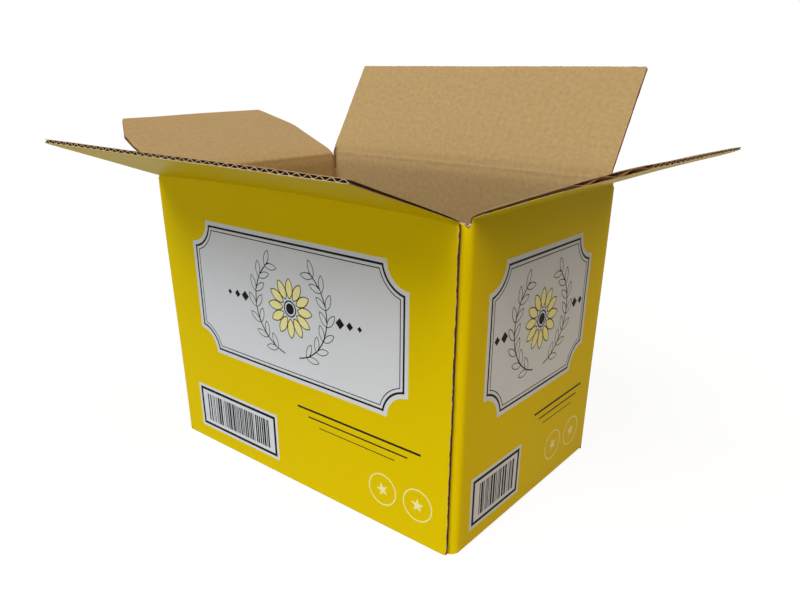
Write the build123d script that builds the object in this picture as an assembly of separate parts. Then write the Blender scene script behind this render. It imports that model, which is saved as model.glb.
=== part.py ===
from build123d import *
import math
import os

os.makedirs("parts", exist_ok=True)

# Driving dimensions in millimetres. X runs along the long sides, the front is at minus Y,
# and the origin is at the middle of the bottom.
box_length = 243.0
box_width = 164.0
box_height = 190.5

# The corrugated board: two flat liners with a wavy medium between them
board = 2.8
liner = 0.35
medium = 0.35
flute_pitch = 6.4
flute_crest = 1.2

# Folds
corner_inner_radius = 1.6
bottom_inner_radius = 0.7
crease_clearance = 0.15
crease_crush = 6.0
lid_layer_clearance = 0.15

# Slots between neighbouring flaps, at the top and at the bottom of each corner
slot_half = 4.5
slot_depth = 3.5
slot_point_depth = 1.5
corner_lift = 1.0

# The glued lap at the near corner
tab_width = 35.0
tab_end_taper = 9.0
tab_clearance = 1.0
raw_edge_setback = 4.0

# Flaps
lid_seam_gap = 12.0
bottom_seam_gap = 0.5
end_flap_length = 79.0
end_flap_taper_start = 47.0
end_flap_taper_in = 15.0
side_slit_depth = 1.2
side_web = 0.8

# How far each top flap stands open, counted from lying shut: 90 is upright, 180 level outwards
front_open_angle = 164.0
back_open_angle = 122.5
right_open_angle = 161.5
left_open_angle = 158.5

# Sizes that follow from the driving dimensions
half_length = box_length / 2
half_width = box_width / 2
end_wall_height = box_height - board - lid_layer_clearance
long_flap_length = half_width - lid_seam_gap / 2
bottom_flap_length = half_width - bottom_seam_gap / 2
long_flap_half = half_length - slot_half
end_flap_half = half_width - slot_half
corner_outer_radius = corner_inner_radius + board
bottom_outer_radius = bottom_inner_radius + board
slot_floor = end_wall_height - slot_depth

# Something to cut past a face by, so that no cut ends on one
spare = 1.0


def strip(points, radius):
    """A strip of board in section. The points follow its outer face, with the board on their left."""
    outer = FilletPolyline(*points, radius=radius)
    return make_face(offset(outer, amount=board, side=Side.LEFT, closed=True).edges())


def folded_walls():
    """The four walls round their folded corners, and the fold that turns the right wall in
    behind the front panel. The corners reach lower than the walls' bottom folds do."""
    tab_face = -half_width + board
    outer_line = [
        (half_length, tab_face + corner_outer_radius),
        (half_length, half_width),
        (-half_length, half_width),
        (-half_length, -half_width),
        (half_length - raw_edge_setback, -half_width),
    ]
    joint_line = [
        (half_length - corner_outer_radius - spare, tab_face),
        (half_length, tab_face),
        (half_length, tab_face + corner_outer_radius + spare),
    ]
    height = slot_floor - corner_lift
    walls = extrude(strip(outer_line, corner_outer_radius), height)
    walls += extrude(strip(joint_line, corner_outer_radius), height)
    walls = Pos(0, 0, corner_lift) * walls
    fold_room = Box(2 * long_flap_half, box_width + 2 * spare, 2 * bottom_outer_radius)
    end_fold_room = Box(box_length + 2 * spare, 2 * end_flap_half, 2 * bottom_outer_radius)
    return walls - fold_room - Pos(0, 0, board) * end_fold_room


def slot_points():
    """The pointed ends of the slots, cut through the folds at the four corners."""
    point = Polyline(
        (-slot_half, spare),
        (slot_half, spare),
        (0, -slot_point_depth),
        close=True,
    )
    cut = extrude(Plane.YZ * make_face(point), 2 * corner_outer_radius, both=True)
    corners = [(1, 1), (-1, 1), (-1, -1), (1, -1)]
    return [
        Pos(x * half_length, y * half_width, slot_floor) * Rot(Z=45 + 90 * i) * cut
        for i, (x, y) in enumerate(corners)
    ]


def raw_edge_slit():
    """The open flute between the liners along the raw edge of the front panel."""
    slit = Box(2 * side_slit_depth, board - 2 * liner, box_height)
    edge_x = half_length - raw_edge_setback
    return Pos(edge_x, -half_width + board / 2, box_height / 2 + bottom_outer_radius) * slit


def glue_tab():
    """The tab glued behind the front panel, tapered at its ends to clear the folds there."""
    low = 2 * board + tab_clearance
    high = slot_floor - tab_clearance
    outer_x = half_length - corner_outer_radius
    inner_x = half_length - tab_width
    outline = Polyline(
        (outer_x, low),
        (outer_x, high),
        (inner_x, high - tab_end_taper),
        (inner_x, low + tab_end_taper),
        close=True,
    )
    tab_back = -half_width + 2 * board
    return Pos(0, tab_back, 0) * extrude(Plane.XZ * make_face(outline), board)


def panel_with_bottom_flap(reach, height, base, half_span):
    """An upright panel at X = reach and the bottom flap folded in from it at Z = base.

    Its top is mitred on the inside, where the crease of the top flap is pressed in.
    """
    section = strip(
        [(reach - bottom_flap_length, base), (reach, base), (reach, height)],
        bottom_outer_radius,
    )
    mitre = Polyline(
        (reach, height),
        (reach - 2 * board, height - 2 * (board + crease_clearance)),
        (reach - 2 * board, height),
        close=True,
    )
    return extrude(Plane.XZ * (section - make_face(mitre)), half_span, both=True)


def flute_channels(half_span, length):
    """The hollows of the flutes, which run from the crease to the free edge.

    They lie in turn under the inner and the outer liner, with the medium as the wall between.
    """
    rise = board - 2 * liner - medium
    run = flute_pitch / 2 - flute_crest
    slope = math.hypot(rise, run)
    shift = medium / 2 * (run - slope) / rise
    wide = (flute_pitch - flute_crest) / 2 + shift
    narrow = flute_crest / 2 + shift
    clear_half = half_span - side_slit_depth - side_web - wide
    count = math.floor(clear_half / (flute_pitch / 2))
    channels = []
    for i in range(-count, count + 1):
        x = i * flute_pitch / 2
        low_half, high_half = (wide, narrow) if i % 2 else (narrow, wide)
        low = liner if i % 2 else liner + medium
        section = Polyline(
            (x - low_half, low),
            (x + low_half, low),
            (x + high_half, low + rise),
            (x - high_half, low + rise),
            close=True,
        )
        channels.append(extrude(Plane.XZ * make_face(section), -length))
    return channels


def top_flap(half_span, length, taper_start, taper_in):
    """A top flap lying flat: the hinge line is the X axis, the free edge at plus Y, inside up."""
    outline = Polyline(
        (-half_span, 0),
        (half_span, 0),
        (half_span, taper_start),
        (half_span - taper_in, length),
        (taper_in - half_span, length),
        (-half_span, taper_start),
        close=True,
    )
    flap = extrude(make_face(outline), board)
    mitre = Polyline(
        (0, 0),
        (2 * (board + crease_clearance), 2 * board),
        (0, 2 * board),
        close=True,
    )
    flap -= extrude(Plane.YZ * make_face(mitre), half_span + spare, both=True)
    hollow_length = length + spare - crease_crush
    cuts = flute_channels(half_span, hollow_length)
    slit = Box(
        2 * side_slit_depth,
        hollow_length,
        board - 2 * liner,
        align=(Align.CENTER, Align.MIN, Align.MIN),
    )
    cuts += [Pos(side * half_span, 0, liner) * slit for side in (-1, 1)]
    return flap - [Pos(0, crease_crush, 0) * cut for cut in cuts]


def hang(flap, reach, height, open_angle, turn):
    """Hinges a flap on the outer edge of the wall top at X = reach, then turns it to its side."""
    hinge = Plane(origin=(reach, 0, height), x_dir=(0, -1, 0), z_dir=(0, 0, 1))
    return Rot(Z=turn) * hinge.location * Rot(X=180 - open_angle) * flap


# The body: one blank, folded and glued, with its bottom flaps shut
long_panel = panel_with_bottom_flap(half_width, box_height, 0, long_flap_half)
end_panel = panel_with_bottom_flap(half_length, end_wall_height, board, end_flap_half)
box_body = folded_walls() - slot_points() + [
    glue_tab(),
    Rot(Z=-90) * long_panel,
    Rot(Z=90) * long_panel,
    end_panel,
    Rot(Z=180) * end_panel,
]
box_body -= raw_edge_slit()

# The four top flaps
long_flap = top_flap(long_flap_half, long_flap_length, long_flap_length / 2, 0)
end_flap = top_flap(end_flap_half, end_flap_length, end_flap_taper_start, end_flap_taper_in)
flaps = {
    "front_flap": hang(long_flap, half_width, box_height, front_open_angle, -90),
    "back_flap": hang(long_flap, half_width, box_height, back_open_angle, 90),
    "right_flap": hang(end_flap, half_length, end_wall_height, right_open_angle, 0),
    "left_flap": hang(end_flap, half_length, end_wall_height, left_open_angle, 180),
}

export_step(box_body, "parts/box_body.step")
for name, flap in flaps.items():
    export_step(flap, f"parts/{name}.step")
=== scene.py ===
import math
import random

import bpy
from mathutils import Matrix, Vector, noise


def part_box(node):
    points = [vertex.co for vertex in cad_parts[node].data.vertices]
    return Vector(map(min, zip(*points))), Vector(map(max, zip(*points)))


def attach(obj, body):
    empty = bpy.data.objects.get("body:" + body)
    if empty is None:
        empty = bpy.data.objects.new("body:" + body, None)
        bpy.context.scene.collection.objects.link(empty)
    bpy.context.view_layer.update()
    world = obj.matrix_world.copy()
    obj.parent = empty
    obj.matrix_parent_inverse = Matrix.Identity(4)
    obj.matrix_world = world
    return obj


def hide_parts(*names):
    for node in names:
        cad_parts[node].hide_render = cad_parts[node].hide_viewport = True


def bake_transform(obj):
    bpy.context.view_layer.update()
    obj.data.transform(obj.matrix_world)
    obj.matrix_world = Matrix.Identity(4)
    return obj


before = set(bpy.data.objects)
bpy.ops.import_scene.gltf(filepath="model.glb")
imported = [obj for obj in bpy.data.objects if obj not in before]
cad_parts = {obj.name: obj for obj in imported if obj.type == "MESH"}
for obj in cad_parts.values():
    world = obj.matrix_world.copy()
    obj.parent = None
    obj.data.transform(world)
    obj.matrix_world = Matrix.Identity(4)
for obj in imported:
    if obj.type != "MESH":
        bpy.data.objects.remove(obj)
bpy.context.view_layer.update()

# Sizes in metres. The body's box comes from the frame, the rest are the board's own sizes.
MM = 0.001
HALF_LENGTH, HALF_WIDTH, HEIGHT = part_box("box_body")[1]
BOARD = 2.8 * MM
LINER = 0.35 * MM
MEDIUM = 0.34 * MM
FLUTE_PITCH = 6.4 * MM
CORNER_RADII = (1.2 * MM, 2.4 * MM, 3.2 * MM)
JOINT_RADIUS = 5.0 * MM
SLOT_HALF = 3.4 * MM
LAYER_GAP = 0.15 * MM
RAW_EDGE_SETBACK = 4.7 * MM
TAB_WIDTH = 35.0 * MM
TAB_TAPER = 9.0 * MM
CORNER_LIFT = 1.0 * MM
LONG_FLAP_LENGTH = HALF_WIDTH - 6 * MM
END_FLAP_LENGTH = 79.0 * MM
BOTTOM_FLAP_LENGTH = HALF_WIDTH - 0.25 * MM
END_TAPER_START = 47.0 * MM
END_TAPER_IN = (17.5 * MM, 14.5 * MM)
KNEE_START, KNEE_END, KNEE_IN = 36.0 * MM, 54.0 * MM, 3.2 * MM
END_TOP = HEIGHT - BOARD - LAYER_GAP

# How far each top flap leans outwards from upright, in degrees
FRONT_LEAN = 73.0
BACK_LEAN = 32.0
RIGHT_LEAN = 70.5
LEFT_LEAN = 68.5

# The end panels' creases ride up a little where the board bends
END_CREASE_LIFT = 1.7 * MM

# The wall wrap stops short of the creases, where the creased panels take over
WRAP_LOW = 8.0 * MM
WRAP_HIGH = 178.0 * MM
WALL_TOP = END_TOP - 1 * MM

# The core fills the board between its liners and reaches a little into both
CORE_BASE = LINER - 0.05 * MM
CORE_THICKNESS = BOARD - 2 * LINER + 0.1 * MM

# How much of the board's thickness is pressed away, and how far from there the pressing fades
CREASE_PRESS, CREASE_REACH = 0.42, 4.0 * MM
CORNER_PRESS, CORNER_REACH = 0.3, 2.5 * MM
EDGE_PRESS, EDGE_REACH = 0.3, 1.2 * MM
CRUSH_REACH = 5 * MM
CRUSH_FADE = 0.45

# How far the board strays from flat: bumps about 70 mm apart on a flap, and bowed walls
RIPPLE, RIPPLE_START, RIPPLE_SCALE = 0.5 * MM, 15 * MM, 14
BOW, BOW_RIPPLE = 0.25 * MM, 0.35 * MM

# The two corners that spring out at their tops: the side of the box they are on, and how far
SPRUNG_CORNERS = ((-1, (-2.4 * MM, -0.8 * MM, 0)), (1, (0.9 * MM, 0.3 * MM, 0)))
SPRUNG_REACH = 25 * MM

# How ragged the cut edges are, and what counts as touching an edge
FRAY = 0.3 * MM
TOUCH = 0.01 * MM


# Working in edit mode

def deselect():
    """Leaves nothing selected."""
    if bpy.context.object and bpy.context.object.mode != "OBJECT":
        bpy.ops.object.mode_set(mode="OBJECT")
    bpy.ops.object.select_all(action="DESELECT")


def pick(obj):
    """Selects obj alone and makes it the active object."""
    deselect()
    obj.select_set(True)
    bpy.context.view_layer.objects.active = obj


def edit_faces(obj, test):
    """Enters edit mode on obj with only the faces whose centre and normal pass the test."""
    pick(obj)
    bpy.ops.object.mode_set(mode="EDIT")
    bpy.ops.mesh.select_mode(type="FACE")
    bpy.ops.mesh.select_all(action="DESELECT")
    bpy.ops.object.mode_set(mode="OBJECT")
    for face in obj.data.polygons:
        face.select = test(face.center, face.normal)
    bpy.ops.object.mode_set(mode="EDIT")


def cut_away(obj, point, normal, fill=False):
    """Bisects obj and clears the side that the normal points to."""
    pick(obj)
    bpy.ops.object.mode_set(mode="EDIT")
    bpy.ops.mesh.select_all(action="SELECT")
    bpy.ops.mesh.bisect(plane_co=point, plane_no=normal, clear_outer=True, use_fill=fill)
    bpy.ops.object.mode_set(mode="OBJECT")


def modify(obj, kind, **settings):
    """Adds a modifier with its settings and applies it."""
    pick(obj)
    modifier = obj.modifiers.new(kind.lower(), kind)
    for name, value in settings.items():
        setattr(modifier, name, value)
    bpy.ops.object.modifier_apply(modifier=modifier.name)


def join(objects, name):
    """Joins the objects into the first, under one name."""
    deselect()
    for obj in objects:
        obj.select_set(True)
    bpy.context.view_layer.objects.active = objects[0]
    bpy.ops.object.join()
    objects[0].name = name
    objects[0].data.name = name
    return objects[0]


def smooth(obj, degrees=35):
    """Smooth shading, with edges sharper than the angle left crisp."""
    pick(obj)
    bpy.ops.object.shade_smooth_by_angle(angle=math.radians(degrees))


# Materials

def colour(code):
    """An sRGB hex code as linear red, green, blue and full alpha."""
    parts = [int(code[i:i + 2], 16) / 255 for i in (1, 3, 5)]
    linear = [c / 12.92 if c <= 0.04045 else ((c + 0.055) / 1.055) ** 2.4 for c in parts]
    return (*linear, 1.0)


def add(tree, kind, inputs=None, **settings):
    """Adds a node with its settings. An input is a value, or the socket that feeds it."""
    node = tree.nodes.new(kind)
    for name, value in settings.items():
        setattr(node, name, value)
    for key, value in (inputs or {}).items():
        if isinstance(value, bpy.types.NodeSocket):
            tree.links.new(value, node.inputs[key])
        else:
            node.inputs[key].default_value = value
    return node


def new_material(name):
    """An empty node material and its tree."""
    material = bpy.data.materials.new(name)
    material.use_nodes = True
    material.node_tree.nodes.clear()
    return material, material.node_tree


# The blank attribute is a point's place in the flat blank: X across the flutes, Y along them and
# Z in depth

def washboard(tree, blank):
    """The faint ridges that the flutes press through a liner, from -1 to 1."""
    across = add(tree, "ShaderNodeSeparateXYZ", {"Vector": blank}).outputs["X"]
    turns = add(
        tree,
        "ShaderNodeMath",
        {0: across, 1: 2 * math.pi / FLUTE_PITCH},
        operation="MULTIPLY",
    )
    return add(tree, "ShaderNodeMath", {0: turns.outputs[0]}, operation="COSINE").outputs[0]


def varnished_liner(name, ink, gloss=0.4):
    """White-top liner, flood printed and varnished: flat ink that only shines at a glancing angle.

    The ink's mottle is about 18 mm across. The paper's grain is about 1.4 mm, drawn some three
    times as coarse as it is, so that it shows.
    """
    material, tree = new_material(name)
    blank = add(tree, "ShaderNodeAttribute", attribute_name="blank").outputs["Vector"]
    mottle = add(tree, "ShaderNodeTexNoise", {"Vector": blank, "Scale": 55.0, "Detail": 4.0})
    shade = add(
        tree,
        "ShaderNodeMix",
        {"Factor": mottle.outputs["Fac"], "A": colour(ink[0]), "B": colour(ink[1])},
        data_type="RGBA",
    )
    grain = add(tree, "ShaderNodeTexNoise", {"Vector": blank, "Scale": 700.0, "Detail": 3.0})
    relief = add(
        tree,
        "ShaderNodeMath",
        {0: washboard(tree, blank), 1: 0.5, 2: grain.outputs["Fac"]},
        operation="MULTIPLY_ADD",
    )
    bump = add(
        tree,
        "ShaderNodeBump",
        {"Height": relief.outputs[0], "Strength": 0.3, "Distance": 0.04 * MM},
    )
    shader = add(
        tree,
        "ShaderNodeBsdfPrincipled",
        {
            "Base Color": shade.outputs["Result"],
            "Roughness": gloss,
            "IOR": 1.5,
            "Specular IOR Level": 0.03,
            "Normal": bump.outputs["Normal"],
        },
    )
    add(tree, "ShaderNodeOutputMaterial", {"Surface": shader.outputs[0]})
    return material


def kraft_paper(name, light, dark, ridge_share=0.02):
    """Unbleached kraft: short fibres and a fine grain, which give a dull, slightly furry face.

    The grain is about 1.1 mm, the clouds 3 mm and the fibres 0.7 by 4 mm. All are drawn some
    three times as coarse as they are, so that they show. The shade in a crease of a wall corner
    is painted in as a darker colour.
    """
    material, tree = new_material(name)
    blank = add(tree, "ShaderNodeAttribute", attribute_name="blank").outputs["Vector"]
    grain = add(
        tree,
        "ShaderNodeTexNoise",
        {"Vector": blank, "Scale": 900.0, "Detail": 5.0, "Roughness": 0.7},
    )
    cloud = add(tree, "ShaderNodeTexNoise", {"Vector": blank, "Scale": 330.0, "Detail": 4.0})
    stretch = add(tree, "ShaderNodeMapping", {"Vector": blank, "Scale": (260.0, 1500.0, 900.0)})
    fibres = add(
        tree,
        "ShaderNodeTexNoise",
        {"Vector": stretch.outputs["Vector"], "Scale": 1.0, "Detail": 3.0, "Distortion": 0.6},
    )
    tone = add(
        tree,
        "ShaderNodeMath",
        {0: grain.outputs["Fac"], 1: 0.5, 2: cloud.outputs["Fac"]},
        operation="MULTIPLY_ADD",
    )
    tone = add(
        tree,
        "ShaderNodeMath",
        {0: fibres.outputs["Fac"], 1: 0.5, 2: tone.outputs[0]},
        operation="MULTIPLY_ADD",
    )
    tone = add(
        tree,
        "ShaderNodeMath",
        {0: washboard(tree, blank), 1: ridge_share, 2: tone.outputs[0]},
        operation="MULTIPLY_ADD",
    ).outputs[0]
    ramp = add(tree, "ShaderNodeMapRange", {"Value": tone, "From Min": 0.6, "From Max": 1.4})
    shade = add(
        tree,
        "ShaderNodeMix",
        {"Factor": ramp.outputs["Result"], "A": colour(dark), "B": colour(light)},
        data_type="RGBA",
    )
    # Painted shade: the creases of the wall corners are darkened towards #5A3A18, for the shade in
    # the fold
    painted_corner_shade = add(tree, "ShaderNodeAttribute", attribute_name="painted_corner_shade").outputs["Fac"]
    crease = add(tree, "ShaderNodeMath", {0: painted_corner_shade, 1: 0.85}, operation="MULTIPLY")
    shade = add(
        tree,
        "ShaderNodeMix",
        {"Factor": crease.outputs[0], "A": shade.outputs["Result"], "B": colour("#5A3A18")},
        data_type="RGBA",
    )
    bump = add(tree, "ShaderNodeBump", {"Height": tone, "Strength": 0.5, "Distance": 0.08 * MM})
    shader = add(
        tree,
        "ShaderNodeBsdfPrincipled",
        {
            "Base Color": shade.outputs["Result"],
            "Roughness": 0.9,
            "IOR": 1.5,
            "Specular IOR Level": 0.25,
            "Sheen Weight": 0.08,
            "Normal": bump.outputs["Normal"],
        },
    )
    add(tree, "ShaderNodeOutputMaterial", {"Surface": shader.outputs[0]})
    return material


# The flood-printed outside, the brown inside and the darker fluting between them
PRINTED = varnished_liner("varnished_yellow_liner", ("#DCC100", "#DEC500"))
KRAFT = kraft_paper("kraft_liner", "#B3986B", "#9A8255")
MEDIUM_PAPER = kraft_paper("fluting_medium", "#967048", "#6C4A2A", ridge_share=0.0)
# Cut paper shows its fibres: pale where the white top is torn, brown where the kraft is cut
PALE_EDGE = kraft_paper("white_top_cut_edge", "#CDBE9E", "#AC9C7A", ridge_share=0.0)
BROWN_EDGE = kraft_paper("kraft_cut_edge", "#B89468", "#8E6E48", ridge_share=0.0)
# Inks of the generic print, with the same varnish over them
WHITE_INK = varnished_liner("pale_grey_ink", ("#D3D8DE", "#D6DBE1"))
BLACK_INK = varnished_liner("black_ink", ("#19191B", "#1E1E20"))
PALE_YELLOW_INK = varnished_liner("pale_yellow_ink", ("#EDE6A0", "#F0EAA8"))
INKS = [WHITE_INK, BLACK_INK, PALE_YELLOW_INK]
(WHITE, BLACK, PALE) = range(3)
BOARD_MATERIALS = [PRINTED, KRAFT, MEDIUM_PAPER, PALE_EDGE, BROWN_EDGE]
(ON_PRINTED, ON_KRAFT, ON_MEDIUM, ON_PALE_EDGE, ON_BROWN_EDGE) = range(5)


# Sheets of paper in the flat: X across the flutes, Y along them, Z from the outer face inwards

def spread(start, *stops):
    """Values from stop to stop, each stop given with the number of steps that lead to it."""
    values = [start]
    for stop, steps in stops:
        begin = values[-1]
        values += [begin + (stop - begin) * k / steps for k in range(1, steps + 1)]
    return values


def flat_sheet(name, columns, rows):
    """A grid whose lines stand at the given columns and rows."""
    deselect()
    bpy.ops.mesh.primitive_grid_add(
        x_subdivisions=len(columns) - 1, y_subdivisions=len(rows) - 1, size=2
    )
    obj = bpy.context.object
    obj.name = name
    for vertex in obj.data.vertices:
        i = round((vertex.co.x + 1) / 2 * (len(columns) - 1))
        j = round((vertex.co.y + 1) / 2 * (len(rows) - 1))
        vertex.co = (columns[i], rows[j], 0)
    return obj


def thicken(obj, thickness, base):
    """Gives a flat sheet its thickness, from Z = base upwards."""
    modify(obj, "SOLIDIFY", thickness=thickness, offset=1)
    for vertex in obj.data.vertices:
        vertex.co.z += base


def paint(obj, face_material):
    """Gives each face the material that the rule names for its centre and normal."""
    obj.data.materials.clear()
    for material in BOARD_MATERIALS:
        obj.data.materials.append(material)
    for face in obj.data.polygons:
        face.material_index = face_material(face.center, face.normal)


def outer_liner_faces(centre, normal):
    """Print outside, bare paper inside, brown where cut along the flutes and pale across."""
    if abs(normal.z) > 0.5:
        return ON_PRINTED if normal.z < 0 else ON_MEDIUM
    return ON_BROWN_EDGE if abs(normal.x) > 0.5 else ON_PALE_EDGE


def inner_liner_faces(centre, normal):
    """Kraft inside, the medium's side behind it, and brown where it is cut."""
    if abs(normal.z) > 0.5:
        return ON_KRAFT if normal.z > 0 else ON_MEDIUM
    return ON_BROWN_EDGE


def medium_faces(centre, normal):
    """Pale where the flutes are cut across, and the medium's own brown elsewhere."""
    return ON_PALE_EDGE if abs(normal.y) > 0.7 else ON_MEDIUM


def keep_blank(obj, centre_x=0.0, crease=0.0, up=1.0):
    """Stores where each point lies in the carton's flat blank, for the paper's grain to follow.

    A second attribute marks the creases of the wall corners, where shade is painted into the kraft
    as a darker colour.
    """
    obj.data.attributes.new("blank", "FLOAT_VECTOR", "POINT")
    obj.data.attributes.new("painted_corner_shade", "FLOAT", "POINT")
    blank = obj.data.attributes["blank"]
    painted_corner_shade = obj.data.attributes["painted_corner_shade"]
    for vertex in obj.data.vertices:
        x, y, z = vertex.co
        flat = centre_x + up * x
        blank.data[vertex.index].vector = (flat, crease + up * y, z)
        # Painted shade: the creases of the wall corners get a darkening weight, fading over about
        # 1.3 mm to each side
        if y * up < 4 * MM:
            painted_corner_shade.data[vertex.index].value = corner_share(flat, 1.3 * MM)


def corner_share(x, reach):
    """How near a point of the blank is to one of the walls' three sharp corners, from 0 to 1."""
    away = [max(a[1] - x, x - b[0], 0) for a, b in zip(WALL_RUNS[:3], WALL_RUNS[1:])]
    return math.exp(-((min(away) / reach) ** 2))


def wander(*place):
    """Smooth noise at a place, from -1 to 1 and the same on each run."""
    return noise.noise(Vector(place))


def smoothstep(x):
    """Rises softly from 0 to 1 as x does."""
    x = min(max(x, 0.0), 1.0)
    return x * x * (3 - 2 * x)


# The walls' outer line, from the raw edge of the front panel to the end of the glue tab

def wall_runs():
    """The straight runs: where each begins and ends in the flat blank, its corner and heading.

    The last value is the outer radius of the corner that follows.
    """
    turns = [
        (-HALF_LENGTH, -HALF_WIDTH, CORNER_RADII[0]),
        (-HALF_LENGTH, HALF_WIDTH, CORNER_RADII[1]),
        (HALF_LENGTH, HALF_WIDTH, CORNER_RADII[2]),
        (HALF_LENGTH, BOARD - HALF_WIDTH, JOINT_RADIUS),
    ]
    begin = Vector((HALF_LENGTH - RAW_EDGE_SETBACK, -HALF_WIDTH))
    heading = Vector((-1, 0))
    flat = 0.0
    runs = []
    for x, y, radius in turns:
        length = (Vector((x, y)) - heading * radius - begin).length
        runs.append((flat, flat + length, begin, heading, radius))
        flat += length + radius * math.pi / 2
        heading = Vector((heading.y, -heading.x))
        begin = Vector((x, y)) + heading * radius
    runs.append((flat, flat + TAB_WIDTH - JOINT_RADIUS, begin, heading, JOINT_RADIUS))
    return runs


WALL_RUNS = wall_runs()
FRONT_SHIFT = 1.6 * MM
BACK_SHIFT = -1.9 * MM
FRONT_CENTRE = HALF_LENGTH - RAW_EDGE_SETBACK + FRONT_SHIFT
LEFT_CENTRE = WALL_RUNS[1][0] + HALF_WIDTH - CORNER_RADII[0]
BACK_CENTRE = WALL_RUNS[2][0] + HALF_LENGTH - CORNER_RADII[1] + BACK_SHIFT
RIGHT_CENTRE = WALL_RUNS[3][0] + HALF_WIDTH - CORNER_RADII[2]


def bow(x, y):
    """How far a wall stands out from its flat plane, fading to its corners."""
    for start, end, *rest in WALL_RUNS[:4]:
        if start < x < end:
            across = math.sin(math.pi * (x - start) / (end - start))
            height = math.sin(math.pi * min(max(y / HEIGHT, 0.0), 1.0))
            return across * height * (BOW + BOW_RIPPLE * wander(x * 11, y * 13, 2.7))
    return 0.0


def sprung(place):
    """Two corners spring outwards at their tops, where the opened flaps pull at them."""
    for side, out in SPRUNG_CORNERS:
        away = math.hypot(place.x - side * HALF_LENGTH, place.y - side * HALF_WIDTH)
        pull = math.exp(-((away / SPRUNG_REACH) ** 2)) * smoothstep(place.z / HEIGHT)
        place = place + Vector(out) * pull
    return place


def on_wall(x, y, depth):
    """The place in the box of a point of the flat blank's walls."""
    for start, end, begin, heading, radius in reversed(WALL_RUNS):
        if x >= start or start == 0:
            break
    normal = Vector((-heading.y, heading.x))
    depth *= 1 - CORNER_PRESS * corner_share(x, CORNER_REACH)
    if x <= end:
        place = begin + heading * (x - start) + normal * (bow(x, y) - depth)
    else:
        angle = (x - end) / radius
        centre = begin + heading * (end - start) - normal * radius
        outward = Matrix.Rotation(-angle, 2) @ normal
        place = centre + outward * (radius - depth)
    return sprung(Vector((place.x, place.y, y)))


# The folds

def fold(height, depth, bend, radius):
    """Where a point of the section goes. Height counts from the crease, depth from the outer face.

    The bend turns what lies above the crease outwards, or inwards where it is negative.
    Returns the height and the distance outwards.
    """
    if bend >= 0:
        reach = radius * math.tan(bend / 2)
        around = radius + depth
        centre, side = radius, -1
    else:
        reach = (radius + BOARD) * math.tan(-bend / 2)
        around = radius + BOARD - depth
        centre, side = -(radius + BOARD), 1
    if height <= -reach:
        return height, -depth
    angle = abs(bend) * min((height + reach) / (2 * reach), 1.0)
    past = max(height - reach, 0.0)
    up = -reach + around * math.sin(angle) + past * math.cos(bend)
    out = centre + side * around * math.cos(angle) + past * math.sin(bend)
    return up, out


class Panel:
    """A flap, its crease and the strip of wall beside it.

    The lean is how far it is turned outwards, at a bend of the radius. The shift moves it along
    its crease. Curl, twist and lift raise it in its middle, at its free corners and all over. The
    sag lowers the crease at its low end, middle and high end. The crush presses its low side, its
    high side and the low and high end of its free edge.
    """

    def __init__(
        self, name, out, up, centre_x, crease, half_span, length, lean, radius,
        shift=0.0, curl=0.0, twist=0.0, lift=0.0, sag=(0, 0, 0), crush=(0, 0, 0, 0),
    ):
        self.name = name
        self.out = Vector(out)
        self.up = Vector((0, 0, up))
        self.along = self.out.cross(self.up)
        self.hinge = self.out * (HALF_LENGTH if abs(self.out.x) > 0.5 else HALF_WIDTH)
        self.hinge += self.along * shift * up
        self.hinge.z = crease
        self.centre_x = centre_x
        self.crease = crease
        self.half_span = half_span
        self.length = length
        self.lean = math.radians(lean)
        self.radius = radius
        self.curl = curl
        self.twist = twist
        self.lift = lift
        self.sag = sag
        self.crush = crush
        self.wall_strip = abs((WRAP_HIGH if up > 0 else WRAP_LOW) - crease)

    def pressed(self, x, y, depth):
        """A point's depth, once the board is pressed at its crease, its edges and where worn."""
        depth *= 1 - CREASE_PRESS * math.exp(-((y / CREASE_REACH) ** 2))
        edge = min(self.half_span - abs(x), self.length - y)
        pinch = EDGE_PRESS * math.exp(-max(edge, 0.0) / EDGE_REACH)
        low_side, high_side, end_low, end_high = self.crush
        across = (x / self.half_span + 1) / 2
        end = end_low + (end_high - end_low) * across
        worn = 1 - CRUSH_FADE * max(y, 0) / self.length
        for amount, away in (
            (low_side * worn, self.half_span + x),
            (high_side * worn, self.half_span - x),
            (end, self.length - y),
        ):
            pinch = max(pinch, amount * math.exp(-max(away, 0.0) / CRUSH_REACH))
        pinch *= smoothstep(y / CREASE_REACH + 1)
        return BOARD / 2 + (depth - BOARD / 2) * (1 - pinch)

    def rise(self, x, y):
        """How far a point of the flap stands off its flat plane, towards the inside."""
        far = y / self.length
        rise = self.curl * far * (1 - far) * 4
        rise += self.twist * far * (x / self.half_span)
        rise += self.lift * smoothstep(y / CREASE_REACH)
        ripple = wander(x * RIPPLE_SCALE, y * RIPPLE_SCALE, self.centre_x * 9)
        return rise + RIPPLE * smoothstep(y / RIPPLE_START) * ripple * (self.up.z > 0)

    def dip(self, x, y):
        """How far the sagging crease lowers a point, fading along the flap and down the wall."""
        low_end, middle, high_end = self.sag
        t = x / self.half_span
        sag = middle + (high_end - low_end) / 2 * t + ((high_end + low_end) / 2 - middle) * t * t
        return sag * max(1 - abs(y) / (self.length if y > 0 else self.wall_strip), 0)

    def place(self, point):
        """The place in the box of a point of the flap laid flat."""
        x, y, depth = point
        depth = self.pressed(x, y, depth)
        up, out = fold(y, depth, self.lean, self.radius)
        if y > 0:
            rise = self.rise(x, y)
            up += rise * math.sin(self.lean)
            out -= rise * math.cos(self.lean)
        up -= self.dip(x, y)
        place = sprung(self.hinge + self.along * x + self.up * up + self.out * out)
        if y < 0:
            wall = on_wall(self.centre_x + self.up.z * x, self.hinge.z + self.up.z * y, depth)
            share = smoothstep((-y - 0.5 * MM) / (3.5 * MM))
            place = place.lerp(wall, share)
        return place


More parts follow.
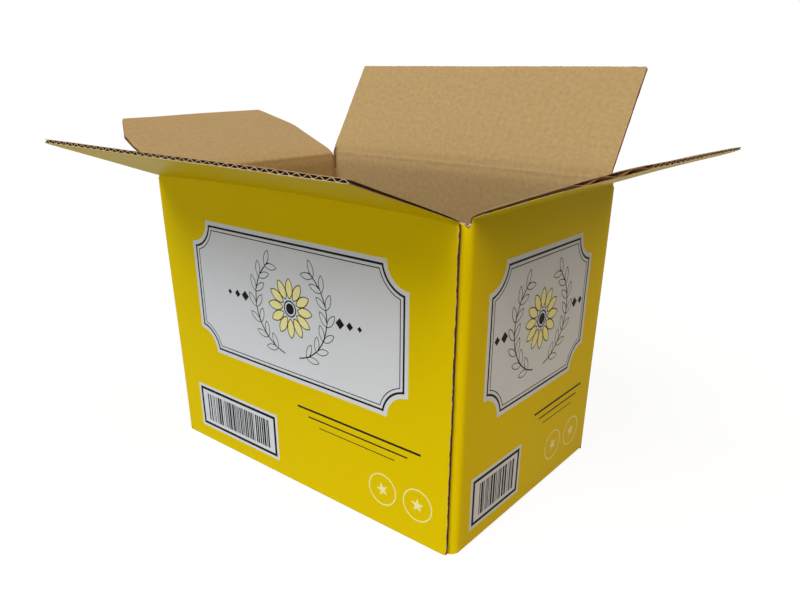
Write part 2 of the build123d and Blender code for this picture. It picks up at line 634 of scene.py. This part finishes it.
def creased_panel(panel, taper=False, trim=0.0, fine=160):
    """Two liners with the medium between them, cut to the flap's outline and folded."""
    half, length, wall_strip = panel.half_span, panel.length, panel.wall_strip
    columns = spread(-half, (-half + 3 * MM, 3), (half - 3 * MM, fine), (half, 3))
    rows = spread(
        -wall_strip,
        (-5 * MM, 3),
        (-2 * MM, 4),
        (2 * MM, 10),
        (6 * MM, 4),
        (length - 3 * MM, 14),
        (length, 3),
    )
    tapers, trims = [], []
    if taper:
        near_side = 1 if panel.centre_x == RIGHT_CENTRE else -1
        tapers = [
            slanting_cut(near_side * half, END_TAPER_START, length, END_TAPER_IN[0]),
            slanting_cut(near_side * half, KNEE_START, KNEE_END, KNEE_IN),
            slanting_cut(-near_side * half, END_TAPER_START, length, END_TAPER_IN[1]),
        ]
    if trim:
        side = math.copysign(1, trim)
        trims = [((side * half - trim, 0, 0), (side, 0, 0))]
    cuts = tapers + trims
    layers = []
    for base, faces, seed in ((0.0, outer_liner_faces, 1), (BOARD - LINER, inner_liner_faces, 2)):
        sheet = flat_sheet("liner", columns, rows)
        fray(sheet, half, length, seed + panel.centre_x * 50)
        for point, normal in cuts:
            cut_away(sheet, point, normal)
        thicken(sheet, LINER, base)
        paint(sheet, faces)
        layers.append(sheet)
    layers.append(flute_waves(half, length, cuts))
    layers.append(crushed_core(panel, trims))
    if trim > 0:
        layers.append(torn_lip(half - trim, 1, -4 * MM, END_TAPER_START))
    obj = join(layers, panel.name)
    keep_blank(obj, panel.centre_x, panel.crease, panel.up.z)
    for vertex in obj.data.vertices:
        vertex.co = panel.place(vertex.co)
    smooth(obj)
    return obj


def slanting_cut(edge, start, end, inwards):
    """The point and normal of a cut that slants in from a side edge between two heights."""
    slope = Vector((end - start, inwards, 0)).normalized()
    return (edge, start, 0), (math.copysign(slope.x, edge), slope.y, 0)


def fray(sheet, half, length, seed):
    """Moves a liner's cut edges in and out a little, as a worn die leaves them."""
    for vertex in sheet.data.vertices:
        x, y = vertex.co.x, vertex.co.y
        ragged = FRAY * wander(x / (1.7 * MM), y / (2.5 * MM), seed)
        if y > length - TOUCH:
            vertex.co.y += ragged
        if y > 0 and abs(x) > half - TOUCH:
            vertex.co.x += ragged


def flute_waves(half, length, cuts):
    """The wavy medium, from the crushed crease to the free edge."""
    wave_half = half - 0.4 * MM
    steps = math.floor(2 * half / FLUTE_PITCH) * 10
    sheet = flat_sheet(
        "medium",
        [-wave_half + 2 * wave_half * k / steps for k in range(steps + 1)],
        spread(4 * MM, (6 * MM, 2), (length - 3 * MM, 14), (length - 0.1 * MM, 2)),
    )
    for point, normal in cuts:
        cut_away(sheet, point, normal)
    swing = (BOARD - 2 * LINER - MEDIUM) / 2
    for vertex in sheet.data.vertices:
        phase = 2 * math.pi * vertex.co.x / FLUTE_PITCH
        vertex.co.z = swing * max(-1.0, min(1.0, 1.15 * math.cos(phase)))
    modify(sheet, "SOLIDIFY", thickness=MEDIUM, offset=0)
    for vertex in sheet.data.vertices:
        vertex.co.z += BOARD / 2
    paint(sheet, medium_faces)
    return sheet


def torn_lip(edge, side, low, high):
    """The ragged lip of the outer liner along a raw edge, where its white top has torn."""
    outwards = (-0.9 * MM, 0.05 * MM, 0.35 * MM)
    columns = sorted(edge + side * x for x in outwards)
    lip = flat_sheet("torn_lip", columns, spread(low, (high, round((high - low) / (0.9 * MM)))))
    for vertex in lip.data.vertices:
        x, y = vertex.co.x, vertex.co.y
        if side * (x - edge) > 0:
            tear = wander(y / (2.2 * MM), 7.7, side) + wander(y / (7 * MM), 1.3, side)
            vertex.co.x += side * 0.4 * MM * tear
    thicken(lip, LINER, -0.03 * MM)

    def lip_faces(centre, normal):
        torn = wander(centre.y / (2.6 * MM), 4.1, side) > -0.05
        return ON_PALE_EDGE if torn and side * (centre.x - edge) > 0 else ON_PRINTED

    paint(lip, lip_faces)
    return lip


def crushed_core(panel, cuts):
    """The medium where the board is pressed flat at the crease, and inside the wall beside it."""
    core_half = panel.half_span - 0.25 * MM
    low, high = -core_half, core_half
    if panel.centre_x == FRONT_CENTRE:
        low += OPEN_FLUTE if panel.up.z > 0 else 0
        high -= OPEN_FLUTE if panel.up.z < 0 else 0
    core = flat_sheet(
        "core",
        spread(low, (high, 16)),
        spread(-panel.wall_strip, (-2 * MM, 3), (2 * MM, 6), (6 * MM, 3)),
    )
    for point, normal in cuts:
        cut_away(core, Vector(point) - Vector(normal) * 0.8 * MM, normal)
    thicken(core, CORE_THICKNESS, CORE_BASE)
    paint(core, medium_faces)
    return core


# The walls and the glue tab

def wall_layer(base, thickness, faces, setback, notch):
    """One layer of the walls, laid flat. The creased panels bring their own tops and bottoms."""
    panels = [
        (FRONT_CENTRE, FRONT_HALF),
        (LEFT_CENTRE, END_HALF),
        (BACK_CENTRE, BACK_HALF),
        (RIGHT_CENTRE, END_HALF),
    ]
    columns = [setback]
    for centre, half in panels:
        low, high = max(centre - half, setback + 0.2 * MM), centre + half
        if columns[-1] < low - 1 * MM:
            columns += spread(columns[-1], (low, 10))[1:-1]
        last = high - JOINT_TRIM * (centre == RIGHT_CENTRE)
        columns += spread(low, (low + 8 * MM, 6), (last - 8 * MM, 20), (last, 6))
    columns += spread(columns[-1], (WALL_RUNS[4][0], 12), (WALL_RUNS[4][0] + 3 * MM, 2))[1:]
    rows = spread(CORNER_LIFT, (WRAP_LOW, 2), (WRAP_HIGH, 20), (WALL_TOP, 3))
    sheet = flat_sheet("wall", columns, rows)

    def in_panel(centre, normal):
        beside = any(abs(centre.x - middle) < half for middle, half in panels)
        beside = beside and centre.x < RIGHT_CENTRE + END_HALF - JOINT_TRIM
        return beside and not WRAP_LOW < centre.y < WRAP_HIGH

    edit_faces(sheet, in_panel)
    bpy.ops.mesh.delete(type="FACE")
    bpy.ops.object.mode_set(mode="OBJECT")
    for vertex in sheet.data.vertices:
        shape_corner(vertex.co, panels, notch)
    thicken(sheet, thickness, base)
    paint(sheet, faces)
    return sheet


def shape_corner(point, panels, notch):
    """Cuts a corner's top into a V, and runs its bottom from one panel's fold to the next."""
    edges = [0.0]
    for centre, half in panels:
        edges += [centre - half, centre + half]
    edges[-1] -= JOINT_TRIM
    edges.append(WALL_RUNS[4][0] - 1.3 * MM)
    creases = [0.0, END_FOOT, 0.0, END_FOOT, 0.0]
    for k, (low, high) in enumerate(zip(edges[2::2], edges[3::2])):
        if low - TOUCH <= point.x <= max(high, WALL_RUNS[4][1] * (k == 3)) + TOUCH:
            share = min((point.x - low) / (high - low), 1.0)
            if point.y > WRAP_HIGH:
                apex = 0.42 if k == 3 else 0.5
                slope = (apex - share) / apex if share < apex else (share - apex) / (1 - apex)
                top = END_TOP - 0.5 * MM - NOTCH_DEPTH * notch * (1 - slope)
                if k == 1:
                    top = END_TOP + 0.9 * MM
                stretch = (top - WRAP_HIGH) / (WALL_TOP - WRAP_HIGH)
                point.y = WRAP_HIGH + (point.y - WRAP_HIGH) * stretch
            elif point.y < WRAP_LOW:
                foot = creases[k] + (creases[k + 1] - creases[k]) * share + 0.1 * MM
                stretch = (WRAP_LOW - foot) / (WRAP_LOW - CORNER_LIFT)
                point.y = WRAP_LOW - (WRAP_LOW - point.y) * stretch


def walls():
    """The four walls wrapped round their folds, with the glue tab behind the front panel."""
    layers = [
        wall_layer(0.0, LINER, outer_liner_faces, 0.0, 1.0),
        wall_layer(CORE_BASE, CORE_THICKNESS, medium_faces, OPEN_FLUTE, 0.6),
        wall_layer(BOARD - LINER, LINER, inner_liner_faces, 0.0, 0.2),
        torn_flute(),
        torn_lip(0.0, -1, 3 * MM, WALL_TOP),
        glue_tab(),
    ]
    obj = join(layers, "walls_board")
    keep_blank(obj)
    for vertex in obj.data.vertices:
        vertex.co = on_wall(*vertex.co)
    smooth(obj)
    return obj


def torn_flute():
    """The torn wall of the flute left open along the raw edge, ragged between the liners."""
    free_edge = 1 * MM
    ribbon = flat_sheet(
        "torn_flute", spread(free_edge, (OPEN_FLUTE, 4)), spread(3 * MM, (WALL_TOP, 150))
    )
    for vertex in ribbon.data.vertices:
        x, y = vertex.co.x, vertex.co.y
        tear = wander(y / (4 * MM), 3.1, 0.4) + 0.6 * wander(y / (1.3 * MM), 8.2, 1.7)
        hang = (OPEN_FLUTE - x) / (OPEN_FLUTE - free_edge)
        vertex.co.x += 1.6 * MM * tear * hang
        droop = 1.2 * MM * (1 - hang) + 0.5 * MM * hang * wander(y / (6 * MM), 5.5, 2.2)
        vertex.co.z = LINER + 0.2 * MM + droop
    thicken(ribbon, MEDIUM, 0)
    paint(ribbon, medium_faces)
    return ribbon


def glue_tab():
    """The tab that folds in behind the front panel, tapered at its ends."""
    start, end = WALL_RUNS[4][0], WALL_RUNS[4][1]
    low, high = 2 * BOARD + 1 * MM, SLOT_FLOOR - 1 * MM
    tab = flat_sheet("tab", spread(start, (end, 6)), spread(low, (high, 16)))
    slope = Vector((TAB_TAPER, end - start, 0)).normalized()
    cut_away(tab, (start, high, 0), (slope.x, slope.y, 0))
    cut_away(tab, (start, low, 0), (slope.x, -slope.y, 0))
    thicken(tab, BOARD, 0)
    paint(tab, tab_faces)
    return tab


def tab_faces(centre, normal):
    """Print outside, kraft inside and brown where it is cut."""
    if normal.z < -0.5:
        return ON_PRINTED
    return ON_KRAFT if normal.z > 0.5 else ON_BROWN_EDGE


FRONT_HALF = FRONT_CENTRE
BACK_HALF = HALF_LENGTH - 2.2 * MM
END_HALF = HALF_WIDTH - SLOT_HALF
SLOT_FLOOR = END_TOP - 3.5 * MM
NOTCH_DEPTH = 2.2 * MM
OPEN_FLUTE = 4.5 * MM
JOINT_TRIM = 2.1 * MM
END_FOOT = 1.0 * MM
BOTTOM_LEAN = -90
LONG_FOOT_RADIUS = -2.4 * MM
END_FOOT_RADIUS = -2.2 * MM

TOP_PANELS = {
    "front": Panel(
        "front_flap_board", (0, -1, 0), 1, FRONT_CENTRE, HEIGHT, FRONT_HALF, LONG_FLAP_LENGTH,
        FRONT_LEAN, 0.8 * MM, shift=FRONT_SHIFT, sag=(3.2 * MM, 0.8 * MM, 2.8 * MM),
        crush=(0.7, 0.0, 0.0, 0.0),
    ),
    "back": Panel(
        "back_flap_board", (0, 1, 0), 1, BACK_CENTRE, HEIGHT, BACK_HALF, LONG_FLAP_LENGTH,
        BACK_LEAN, 0.8 * MM, shift=BACK_SHIFT,
    ),
    "right": Panel(
        "right_flap_board", (1, 0, 0), 1, RIGHT_CENTRE, END_TOP + END_CREASE_LIFT, END_HALF,
        END_FLAP_LENGTH, RIGHT_LEAN, 1.2 * MM, curl=0.6 * MM, twist=0.9 * MM,
        crush=(0.4, 0.62, 0.65, 0.35),
    ),
    "left": Panel(
        "left_flap_board", (-1, 0, 0), 1, LEFT_CENTRE, END_TOP + END_CREASE_LIFT, END_HALF,
        END_FLAP_LENGTH, LEFT_LEAN, 1.2 * MM, twist=1.4 * MM,
    ),
}
BOTTOM_PANELS = [
    Panel(
        "bottom_front_board", (0, -1, 0), -1, FRONT_CENTRE, 0, FRONT_HALF, BOTTOM_FLAP_LENGTH,
        BOTTOM_LEAN, LONG_FOOT_RADIUS, shift=FRONT_SHIFT,
    ),
    Panel(
        "bottom_back_board", (0, 1, 0), -1, BACK_CENTRE, 0, BACK_HALF, BOTTOM_FLAP_LENGTH,
        BOTTOM_LEAN, LONG_FOOT_RADIUS, shift=BACK_SHIFT,
    ),
    Panel(
        "bottom_right_board", (1, 0, 0), -1, RIGHT_CENTRE, END_FOOT, END_HALF,
        BOTTOM_FLAP_LENGTH, BOTTOM_LEAN, END_FOOT_RADIUS, lift=BOARD - END_FOOT,
        sag=(0, 0.4 * MM, 0.9 * MM),
    ),
    Panel(
        "bottom_left_board", (-1, 0, 0), -1, LEFT_CENTRE, END_FOOT, END_HALF,
        BOTTOM_FLAP_LENGTH, BOTTOM_LEAN, END_FOOT_RADIUS, lift=BOARD - END_FOOT,
    ),
]

walls_board = walls()
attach(walls_board, "body")
body_pieces = [walls_board]
for panel in BOTTOM_PANELS:
    trim = -JOINT_TRIM if panel.centre_x == RIGHT_CENTRE else 0.0
    piece = creased_panel(panel, trim=trim, fine=80)
    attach(piece, "body")
    body_pieces.append(piece)
for piece in body_pieces:
    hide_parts("box_body")
for side, panel in TOP_PANELS.items():
    piece = creased_panel(
        panel, taper=side in ("right", "left"), trim=JOINT_TRIM if side == "right" else 0.0
    )
    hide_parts(f"{side}_flap")
    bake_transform(piece)


# The print. A motif is drawn flat: X to the viewer's right, Y up, Z towards the viewer.

def disc(radius, sides=48):
    """A flat round shape with its inks ready."""
    deselect()
    bpy.ops.mesh.primitive_circle_add(vertices=sides, radius=radius, fill_type="NGON")
    return inked(bpy.context.object)


def rectangle(width, height):
    """A flat rectangle with its inks ready."""
    deselect()
    bpy.ops.mesh.primitive_plane_add(size=1)
    obj = bpy.context.object
    obj.data.transform(Matrix.Diagonal((width, height, 1, 1)))
    return inked(obj)


def inked(obj):
    """Gives a motif its three inks."""
    for ink in INKS:
        obj.data.materials.append(ink)
    return obj


def bordered(obj, *rings, middle=None):
    """Insets a shape ring by ring, each with its width and ink. With no middle it stays open."""
    edit_faces(obj, lambda centre, normal: True)
    for width, ink in rings:
        obj.active_material_index = ink
        bpy.ops.object.material_slot_assign()
        bpy.ops.mesh.inset(thickness=width)
    if middle is None:
        bpy.ops.mesh.delete(type="FACE")
    else:
        obj.active_material_index = middle
        bpy.ops.object.material_slot_assign()
    bpy.ops.object.mode_set(mode="OBJECT")
    return obj


def moved(obj, x, y, turn=0.0):
    """Turns a motif by degrees about its own origin and moves it."""
    obj.data.transform(Matrix.Translation((x, y, 0)) @ Matrix.Rotation(math.radians(turn), 4, "Z"))
    return obj


def copy_of(obj):
    """A copy of a motif, with its own mesh."""
    copy = obj.copy()
    copy.data = obj.data.copy()
    bpy.context.collection.objects.link(copy)
    return copy


def discard(obj):
    """Removes a motif that only served to be copied."""
    bpy.data.objects.remove(obj, do_unlink=True)


def printed_slab(obj, proud):
    """Gives a motif the thickness of its ink, from inside the liner to just proud of it."""
    modify(obj, "SOLIDIFY", thickness=0.1 * MM + proud, offset=1)
    for vertex in obj.data.vertices:
        vertex.co.z -= 0.1 * MM
    return obj


def leaf(length, width, rim, fill):
    """A pointed leaf along X from the origin, outlined in black."""
    blade = disc(0.5, 28)
    for vertex in blade.data.vertices:
        x, y = vertex.co.x, vertex.co.y
        vertex.co = ((x + 0.5) * length, y * abs(2 * y) ** 0.5 * width, 0)
    return bordered(blade, (rim, BLACK), middle=fill)


def star(radius, ink):
    """A five-pointed star."""
    shape = disc(radius, 10)
    for k, vertex in enumerate(shape.data.vertices):
        vertex.co *= 1.0 if k % 2 == 0 else 0.42
    return bordered(shape, middle=ink)


def plaque(width, height, scoop):
    """A pale plaque with a thick and a thin line round it, all scooped out round the corners."""
    lines = (2.6 * MM, WHITE), (1.3 * MM, BLACK), (1.6 * MM, WHITE), (0.6 * MM, BLACK)
    panel = bordered(disc(1.0, 52), *((0.1, ink) for band, ink in lines), middle=WHITE)
    for vertex in panel.data.vertices:
        x, y, z = vertex.co
        line = round((1 - math.hypot(x, y)) * 10)
        step = round(math.atan2(y, x) / math.pi * 26) % 52
        inset = sum(band for band, ink in lines[:line])
        corner, share = divmod(step, 13)
        radius = scoop + inset
        start = math.asin(inset / radius)
        angle = start + (math.pi / 2 - 2 * start) * share / 12
        near, far = radius * math.sin(angle), radius * math.cos(angle)
        if corner % 2:
            near, far = far, near
        side_x = 1 if corner in (0, 3) else -1
        side_y = 1 if corner < 2 else -1
        vertex.co = (side_x * (width / 2 - near), side_y * (height / 2 - far), 0)
    return panel


def rosette(radius, petals):
    """A wheel of petals round a ringed middle."""
    pieces = []
    petal = leaf(radius * 0.68, radius * 0.34, 0.6 * MM, PALE)
    for k in range(petals):
        pieces.append(moved(moved(copy_of(petal), radius * 0.32, 0), 0, 0, 360 * k / petals))
    discard(petal)
    hub = disc(radius * 0.28, 32)
    pieces.append(bordered(hub, (0.9 * MM, BLACK), (1.0 * MM, WHITE), middle=BLACK))
    return pieces


def sprig(reach, side):
    """A laurel branch that curves up from below the rosette, on the right for side 1."""
    pieces = []
    stem = bordered(disc(reach, 64), (0.8 * MM, BLACK))
    cut_away(stem, (0, reach * 0.82, 0), (0, 1, 0))
    cut_away(stem, (side * reach * 0.2, 0, 0), (-side, 0, 0))
    pieces.append(stem)
    blade = leaf(reach * 0.34, reach * 0.14, 0.5 * MM, WHITE)
    for k in range(7):
        angle = -66 + 19 * k
        place = Vector((math.cos(math.radians(angle)), math.sin(math.radians(angle)))) * reach
        for lean in (28, -42):
            turn = angle + 90 - lean
            part = moved(copy_of(blade), 0, 0, turn)
            moved(part, place.x, place.y)
            if side < 0:
                part.data.transform(Matrix.Diagonal((-1, 1, 1, 1)))
                part.data.flip_normals()
            pieces.append(part)
    discard(blade)
    return pieces


def bars(width, height, seed):
    """A white panel with a black frame, and upright bars of random widths for it."""
    rng = random.Random(seed)
    frame_piece = bordered(
        rectangle(width, height), (2 * MM, WHITE), (2 * MM, BLACK), middle=WHITE
    )
    marks = []
    x = -width / 2 + 9 * MM
    while x < width / 2 - 9 * MM:
        thick = rng.choice((0.5, 0.8, 1.3, 1.8)) * MM
        bar = bordered(rectangle(thick, height - 13 * MM), middle=BLACK)
        marks.append(moved(bar, x + thick / 2, 0))
        x += thick + rng.choice((0.6, 0.9, 1.4)) * MM
    return frame_piece, marks


def score(obj):
    """Cuts a print into squares, so that it bends with the wall it lies on."""
    square = 8 * MM
    pick(obj)
    bpy.ops.object.mode_set(mode="EDIT")
    for k in range(-14, 15):
        bpy.ops.mesh.select_all(action="SELECT")
        bpy.ops.mesh.bisect(plane_co=(square * k, 0, 0), plane_no=(1, 0, 0))
    for k in range(1, 22):
        bpy.ops.mesh.select_all(action="SELECT")
        bpy.ops.mesh.bisect(plane_co=(0, square * k, 0), plane_no=(0, 1, 0))
    bpy.ops.object.mode_set(mode="OBJECT")


def label(centre_x, width, seed, name):
    """One panel's print: a plaque with a rosette and two sprigs, and rings, rules and bars."""
    plaque_height, motif_height, ring_height, bars_height = 119 * MM, 121 * MM, 25 * MM, 27 * MM
    low = [moved(plaque(width * 0.78, 90 * MM, 15 * MM), 0, plaque_height)]
    high = []
    for piece in rosette(19 * MM, 12):
        high.append(moved(piece, 0, motif_height))
    for side in (-1, 1):
        for piece in sprig(31 * MM, side):
            high.append(moved(piece, 0, motif_height))
        for k in range(3 if width > 200 * MM else 2):
            lozenge = bordered(disc((3.4 - 0.8 * k) * MM, 4), middle=BLACK)
            high.append(moved(lozenge, side * (41 + 7.5 * k) * MM, motif_height))
    for k in range(2):
        ring = bordered(disc(10.5 * MM), (0.8 * MM, PALE))
        ring_x = width / 2 - (18 + 26 * k) * MM
        low.append(moved(ring, ring_x, ring_height))
        low.append(moved(star(4.6 * MM, PALE), ring_x, ring_height, 18 * k))
    frame_piece, marks = bars(width * 0.36, 34 * MM, seed)
    bars_x = -width * 0.26
    low.append(moved(frame_piece, bars_x, bars_height))
    high += [moved(mark, bars_x, bars_height) for mark in marks]
    for k, share in enumerate((0.42, 0.34, 0.26)):
        rule = bordered(rectangle(width * share, (1.4 - 0.4 * k) * MM), middle=BLACK)
        low.append(moved(rule, width * 0.22, (58 - 5 * k) * MM))
    for piece in low:
        printed_slab(piece, 0.03 * MM)
    for piece in high:
        printed_slab(piece, 0.05 * MM)
    obj = join(low + high, name)
    score(obj)
    for vertex in obj.data.vertices:
        u, v, proud = vertex.co
        vertex.co = (centre_x - u, v, -proud)
    keep_blank(obj)
    for vertex in obj.data.vertices:
        vertex.co = on_wall(*vertex.co)
    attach(obj, "body")


label(FRONT_CENTRE, 232 * MM, 5, "print_front")
label(RIGHT_CENTRE, 150 * MM, 8, "print_right")
label(BACK_CENTRE, 232 * MM, 5, "print_back")
label(LEFT_CENTRE, 150 * MM, 8, "print_left")


# Camera, lights and floor

def place_camera():
    """The photograph's point of view: a little above the open top, near the glued corner."""
    bpy.ops.object.camera_add()
    camera = bpy.context.object
    camera.name = "camera"
    camera.data.sensor_width = 36
    camera.data.lens = 31.39
    camera.data.shift_y = 0.0768
    azimuth, elevation, roll = (math.radians(angle) for angle in (39.05, 22.53, 0.46))
    turn = Matrix.Rotation(azimuth, 4, "Z") @ Matrix.Rotation(math.pi / 2 - elevation, 4, "X")
    turn = turn @ Matrix.Rotation(roll, 4, "Z")
    camera.matrix_world = Matrix.Translation((0.2986, -0.3478, 0.2518)) @ turn
    bpy.context.scene.camera = camera


def sun(name, azimuth, elevation, strength, angle, tint="#FFFFFF"):
    """A wide soft lamp far off, at the azimuth and elevation where it stands."""
    bpy.ops.object.light_add(type="SUN")
    lamp = bpy.context.object
    lamp.name = name
    lamp.rotation_euler = (math.radians(90 - elevation), 0, math.radians(azimuth))
    lamp.data.energy = strength
    lamp.data.color = colour(tint)[:3]
    lamp.data.angle = math.radians(angle)


def seen_share(tree, share):
    """The share for rays from the camera, less for gloss, and none for the light on the box."""
    path = add(tree, "ShaderNodeLightPath")
    gloss = add(
        tree, "ShaderNodeMath", {0: path.outputs["Is Glossy Ray"], 1: 0.7}, operation="MULTIPLY"
    )
    seen = add(
        tree,
        "ShaderNodeMath",
        {0: path.outputs["Is Camera Ray"], 1: gloss.outputs[0]},
        operation="MAXIMUM",
    )
    shared = add(tree, "ShaderNodeMath", {0: seen.outputs[0], 1: share}, operation="MULTIPLY")
    return shared.outputs[0]


def studio():
    """A pale room: it looks white to the camera and to the gloss, and lights the box softly."""
    world = bpy.data.worlds.new("studio")
    bpy.context.scene.world = world
    world.use_nodes = True
    tree = world.node_tree
    tree.nodes.clear()
    on_box = 0.13
    seen = seen_share(tree, 1 - on_box)
    strength = add(tree, "ShaderNodeMath", {0: seen, 1: on_box}, operation="ADD").outputs[0]
    room = add(tree, "ShaderNodeBackground", {"Color": colour("#FFFFFF"), "Strength": strength})
    add(tree, "ShaderNodeOutputWorld", {"Surface": room.outputs[0]})


def floor():
    """Pale floor: white to the camera, with the box's own soft shadow on it."""
    deselect()
    bpy.ops.mesh.primitive_plane_add(size=30)
    plane = bpy.context.object
    plane.name = "floor"
    material, tree = new_material("pale_floor")
    paper = add(tree, "ShaderNodeBsdfDiffuse", {"Color": colour("#9A9A9A")})
    glow = add(tree, "ShaderNodeEmission", {"Color": colour("#FFFFFF"), "Strength": 1.28})
    seen = seen_share(tree, 0.72)
    mix = add(tree, "ShaderNodeMixShader", {0: seen, 1: paper.outputs[0], 2: glow.outputs[0]})
    add(tree, "ShaderNodeOutputMaterial", {"Surface": mix.outputs[0]})
    plane.data.materials.append(material)


bpy.context.scene.view_settings.view_transform = "Standard"
place_camera()
studio()
floor()
sun("front_low", 0, 8, 0.72, 30)
sun("front_high", -5, 52, 2.2, 40)
sun("overhead", 80, 72, 0.3, 50)
sun("right_fill", 78, 42, 1.15, 40, tint="#FFE0B8")
